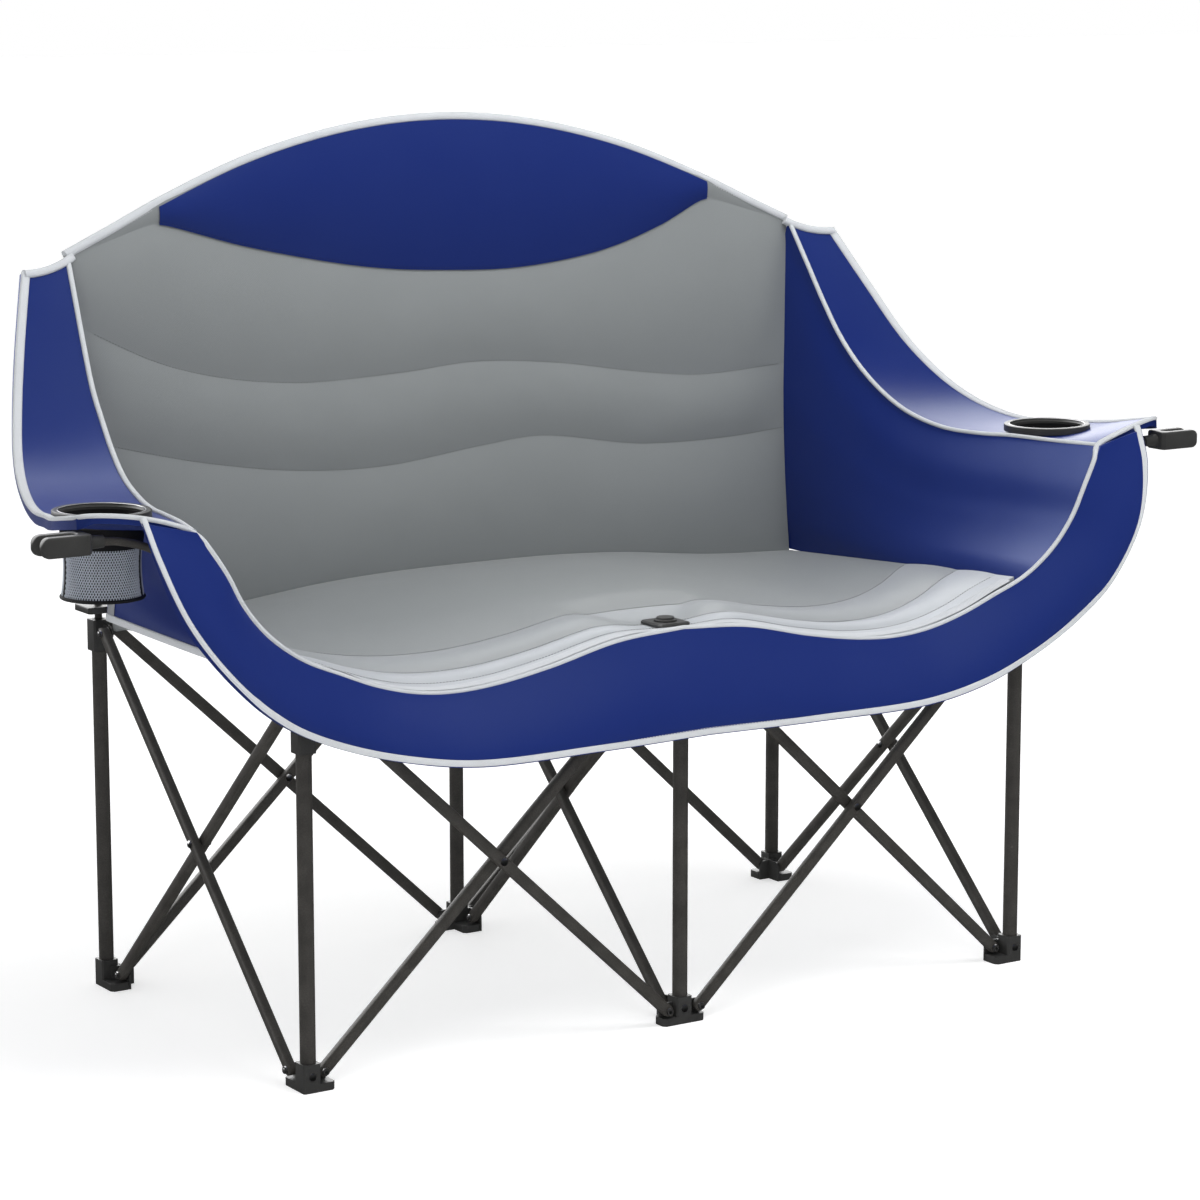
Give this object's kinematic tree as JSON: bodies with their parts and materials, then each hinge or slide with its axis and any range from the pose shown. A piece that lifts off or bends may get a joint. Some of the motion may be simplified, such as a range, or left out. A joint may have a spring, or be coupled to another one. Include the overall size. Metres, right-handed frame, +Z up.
{
  "type": "folding camping loveseat",
  "caption": "Folding camping loveseat with a padded seat and back, a scissor-bar frame, and armrests with cup holders and stemmed-glass clips.",
  "frame": {"origin": "on the floor, under the middle of the whole object's box", "axes": "+Z up, -Y to the front, +X to the right as seen from the front"},
  "size_m": [1.6012, 0.6414, 1.045],
  "materials": {
    "powder_coat": "textured black powder coat",
    "black_plastic": "moulded, fine satin texture",
    "black_mesh": "open knitted mesh with woven binding",
    "grey_cloth": "padded polyester oxford, channel sewn",
    "blue_cloth": "coated polyester oxford with a soft sheen"
  },
  "bodies": {
    "base_front_middle": {"post_front_middle": "powder_coat", "foot_front_middle": "black_plastic"},
    "bar_front_left_outer": {"bar_front_left_outer": "powder_coat"},
    "bar_front_left_inner": {"bar_front_left_inner": "powder_coat"},
    "bar_front_right_outer": {"bar_front_right_outer": "powder_coat"},
    "bar_front_right_inner": {"bar_front_right_inner": "powder_coat"},
    "bar_middle_outer": {"bar_middle_outer": "powder_coat"},
    "bar_middle_inner": {"bar_middle_inner": "powder_coat"},
    "base_front_left": {"post_front_left": "powder_coat", "foot_front_left": "black_plastic"},
    "base_front_right": {"post_front_right": "powder_coat", "foot_front_right": "black_plastic"},
    "base_rear_middle": {"post_rear_middle": "powder_coat", "foot_rear_middle": "black_plastic"},
    "bar_side_left_outer": {"bar_side_left_outer": "powder_coat"},
    "bar_side_left_inner": {"bar_side_left_inner": "powder_coat"},
    "base_rear_left": {"post_rear_left": "powder_coat", "foot_rear_left": "black_plastic"},
    "bar_side_right_outer": {"bar_side_right_outer": "powder_coat"},
    "bar_side_right_inner": {"bar_side_right_inner": "powder_coat"},
    "base_rear_right": {"post_rear_right": "powder_coat", "foot_rear_right": "black_plastic"},
    "bar_rear_left_outer": {"bar_rear_left_outer": "powder_coat"},
    "bar_rear_left_inner": {"bar_rear_left_inner": "powder_coat"},
    "bar_rear_right_outer": {"bar_rear_right_outer": "powder_coat"},
    "bar_rear_right_inner": {"bar_rear_right_inner": "powder_coat"},
    "hub_front_middle": {"hub_front_middle": "black_plastic", "stub_front_middle": "powder_coat", "seat_cap": "black_plastic", "seat_front_roll": "grey_cloth", "front_fascia": "blue_cloth"},
    "hub_rear_middle": {"hub_rear_middle": "black_plastic", "pole_rear_middle": "powder_coat", "plate_rear_middle": "black_plastic", "back_pad": "grey_cloth"},
    "hub_front_left": {"hub_front_left": "black_plastic", "arm_strut_left": "powder_coat", "fascia_horn_left": "blue_cloth", "arm_panel_left": "blue_cloth", "side_panel_left": "blue_cloth", "cup_ring_left": "black_plastic", "mesh_cup_left": "black_mesh", "glass_clip_left": "black_plastic"},
    "hub_rear_left": {"hub_rear_left": "black_plastic", "pole_rear_left": "powder_coat", "plate_rear_left": "black_plastic"},
    "hub_front_right": {"hub_front_right": "black_plastic", "arm_strut_right": "powder_coat", "fascia_horn_right": "blue_cloth", "arm_panel_right": "blue_cloth", "side_panel_right": "blue_cloth", "cup_ring_right": "black_plastic", "mesh_cup_right": "black_mesh", "glass_clip_right": "black_plastic"},
    "hub_rear_right": {"hub_rear_right": "black_plastic", "pole_rear_right": "powder_coat", "plate_rear_right": "black_plastic"},
    "seat_front": {"seat_front_half": "grey_cloth"},
    "seat_rear": {"seat_rear_half": "grey_cloth"}
  },
  "joints": [
    {"name": "fold", "type": "hinge", "parent": "base_front_middle", "child": "bar_front_left_outer", "pos_m": [-0.0225, -0.25252, 0.0186], "axis": [0, 1, 0], "range_deg": [0, 37], "deforming": ["seat_front_roll", "seat_front_half", "seat_rear_half", "front_fascia", "back_pad", "arm_panel_left", "arm_panel_right", "side_panel_left", "side_panel_right"]},
    {"name": "cross_front_left", "type": "hinge", "parent": "bar_front_left_outer", "child": "bar_front_left_inner", "pos_m": [-0.25, -0.25252, 0.2311], "axis": [0, 1, 0], "range_deg": [-74, 0]},
    {"name": "fold_front_right", "type": "hinge", "parent": "base_front_middle", "child": "bar_front_right_outer", "pos_m": [0.0225, -0.25252, 0.0186], "axis": [0, 1, 0], "range_deg": [-37, 0]},
    {"name": "cross_front_right", "type": "hinge", "parent": "bar_front_right_outer", "child": "bar_front_right_inner", "pos_m": [0.25, -0.25252, 0.2311], "axis": [0, 1, 0], "range_deg": [0, 74]},
    {"name": "fold_middle", "type": "hinge", "parent": "base_front_middle", "child": "bar_middle_outer", "pos_m": [0, -0.22267, 0.0186], "axis": [1, 0, 0], "range_deg": [0, 37]},
    {"name": "cross_middle", "type": "hinge", "parent": "bar_middle_outer", "child": "bar_middle_inner", "pos_m": [0, 0.00483, 0.2311], "axis": [1, 0, 0], "range_deg": [-74, 0]},
    {"name": "post_front_left_pivot", "type": "hinge", "parent": "bar_front_left_inner", "child": "base_front_left", "pos_m": [-0.4775, -0.25252, 0.0186], "axis": [0, 1, 0], "range_deg": [0, 37]},
    {"name": "post_front_right_pivot", "type": "hinge", "parent": "bar_front_right_inner", "child": "base_front_right", "pos_m": [0.4775, -0.25252, 0.0186], "axis": [0, 1, 0], "range_deg": [-37, 0]},
    {"name": "post_rear_middle_pivot", "type": "hinge", "parent": "bar_middle_inner", "child": "base_rear_middle", "pos_m": [0, 0.23233, 0.0186], "axis": [1, 0, 0], "range_deg": [0, 37]},
    {"name": "hub_front_left_pivot", "type": "hinge", "parent": "bar_front_left_outer", "child": "hub_front_left", "pos_m": [-0.4775, -0.25252, 0.4436], "axis": [0, 1, 0], "range_deg": [-37, 0]},
    {"name": "hub_front_right_pivot", "type": "hinge", "parent": "bar_front_right_outer", "child": "hub_front_right", "pos_m": [0.4775, -0.25252, 0.4436], "axis": [0, 1, 0], "range_deg": [0, 37]},
    {"name": "hub_rear_middle_pivot", "type": "hinge", "parent": "bar_middle_outer", "child": "hub_rear_middle", "pos_m": [0, 0.23233, 0.4436], "axis": [1, 0, 0], "range_deg": [-37, 0]},
    {"name": "hub_front_middle_pivot", "type": "hinge", "parent": "bar_middle_inner", "child": "hub_front_middle", "pos_m": [0, -0.22267, 0.4436], "axis": [1, 0, 0], "range_deg": [0, 37]},
    {"name": "fold_side_left", "type": "hinge", "parent": "base_front_left", "child": "bar_side_left_outer", "pos_m": [-0.5, -0.22267, 0.0186], "axis": [1, 0, 0], "range_deg": [0, 37]},
    {"name": "cross_side_left", "type": "hinge", "parent": "bar_side_left_outer", "child": "bar_side_left_inner", "pos_m": [-0.5, 0.00483, 0.2311], "axis": [1, 0, 0], "range_deg": [-74, 0]},
    {"name": "post_rear_left_pivot", "type": "hinge", "parent": "bar_side_left_inner", "child": "base_rear_left", "pos_m": [-0.5, 0.23233, 0.0186], "axis": [1, 0, 0], "range_deg": [0, 37]},
    {"name": "hub_rear_left_pivot", "type": "hinge", "parent": "bar_side_left_outer", "child": "hub_rear_left", "pos_m": [-0.5, 0.23233, 0.4436], "axis": [1, 0, 0], "range_deg": [-37, 0]},
    {"name": "fold_side_right", "type": "hinge", "parent": "base_front_right", "child": "bar_side_right_outer", "pos_m": [0.5, -0.22267, 0.0186], "axis": [1, 0, 0], "range_deg": [0, 37]},
    {"name": "cross_side_right", "type": "hinge", "parent": "bar_side_right_outer", "child": "bar_side_right_inner", "pos_m": [0.5, 0.00483, 0.2311], "axis": [1, 0, 0], "range_deg": [-74, 0]},
    {"name": "post_rear_right_pivot", "type": "hinge", "parent": "bar_side_right_inner", "child": "base_rear_right", "pos_m": [0.5, 0.23233, 0.0186], "axis": [1, 0, 0], "range_deg": [0, 37]},
    {"name": "hub_rear_right_pivot", "type": "hinge", "parent": "bar_side_right_outer", "child": "hub_rear_right", "pos_m": [0.5, 0.23233, 0.4436], "axis": [1, 0, 0], "range_deg": [-37, 0]},
    {"name": "fold_rear_left", "type": "hinge", "parent": "base_rear_middle", "child": "bar_rear_left_outer", "pos_m": [-0.0225, 0.26218, 0.0186], "axis": [0, 1, 0], "range_deg": [0, 37]},
    {"name": "cross_rear_left", "type": "hinge", "parent": "bar_rear_left_outer", "child": "bar_rear_left_inner", "pos_m": [-0.25, 0.26218, 0.2311], "axis": [0, 1, 0], "range_deg": [-74, 0]},
    {"name": "fold_rear_right", "type": "hinge", "parent": "base_rear_middle", "child": "bar_rear_right_outer", "pos_m": [0.0225, 0.26218, 0.0186], "axis": [0, 1, 0], "range_deg": [-37, 0]},
    {"name": "cross_rear_right", "type": "hinge", "parent": "bar_rear_right_outer", "child": "bar_rear_right_inner", "pos_m": [0.25, 0.26218, 0.2311], "axis": [0, 1, 0], "range_deg": [0, 74]},
    {"name": "seat_front_fold", "type": "hinge", "parent": "hub_front_middle", "child": "seat_front", "pos_m": [0, -0.19652, 0.461], "axis": [1, 0, 0], "range_deg": [0, 82.51]},
    {"name": "seat_rear_fold", "type": "hinge", "parent": "hub_rear_middle", "child": "seat_rear", "pos_m": [0, 0.21543, 0.461], "axis": [1, 0, 0], "range_deg": [-82.51, 0]}
  ],
  "couplings": [
    {"joint": "cross_front_left", "follows": "fold", "ratio": -2},
    {"joint": "fold_front_right", "follows": "fold", "ratio": -1},
    {"joint": "cross_front_right", "follows": "fold", "ratio": 2},
    {"joint": "fold_middle", "follows": "fold", "ratio": 1},
    {"joint": "cross_middle", "follows": "fold", "ratio": -2},
    {"joint": "post_front_left_pivot", "follows": "fold", "ratio": 1},
    {"joint": "post_front_right_pivot", "follows": "fold", "ratio": -1},
    {"joint": "post_rear_middle_pivot", "follows": "fold", "ratio": 1},
    {"joint": "hub_front_left_pivot", "follows": "fold", "ratio": -1},
    {"joint": "hub_front_right_pivot", "follows": "fold", "ratio": 1},
    {"joint": "hub_rear_middle_pivot", "follows": "fold", "ratio": -1},
    {"joint": "hub_front_middle_pivot", "follows": "fold", "ratio": 1},
    {"joint": "fold_side_left", "follows": "fold", "ratio": 1},
    {"joint": "cross_side_left", "follows": "fold", "ratio": -2},
    {"joint": "post_rear_left_pivot", "follows": "fold", "ratio": 1},
    {"joint": "hub_rear_left_pivot", "follows": "fold", "ratio": -1},
    {"joint": "fold_side_right", "follows": "fold", "ratio": 1},
    {"joint": "cross_side_right", "follows": "fold", "ratio": -2},
    {"joint": "post_rear_right_pivot", "follows": "fold", "ratio": 1},
    {"joint": "hub_rear_right_pivot", "follows": "fold", "ratio": -1},
    {"joint": "fold_rear_left", "follows": "fold", "ratio": 1},
    {"joint": "cross_rear_left", "follows": "fold", "ratio": -2},
    {"joint": "fold_rear_right", "follows": "fold", "ratio": -1},
    {"joint": "cross_rear_right", "follows": "fold", "ratio": 2},
    {"joint": "seat_front_fold", "follows": "fold", "ratio": 2.23},
    {"joint": "seat_rear_fold", "follows": "fold", "ratio": -2.23}
  ]
}
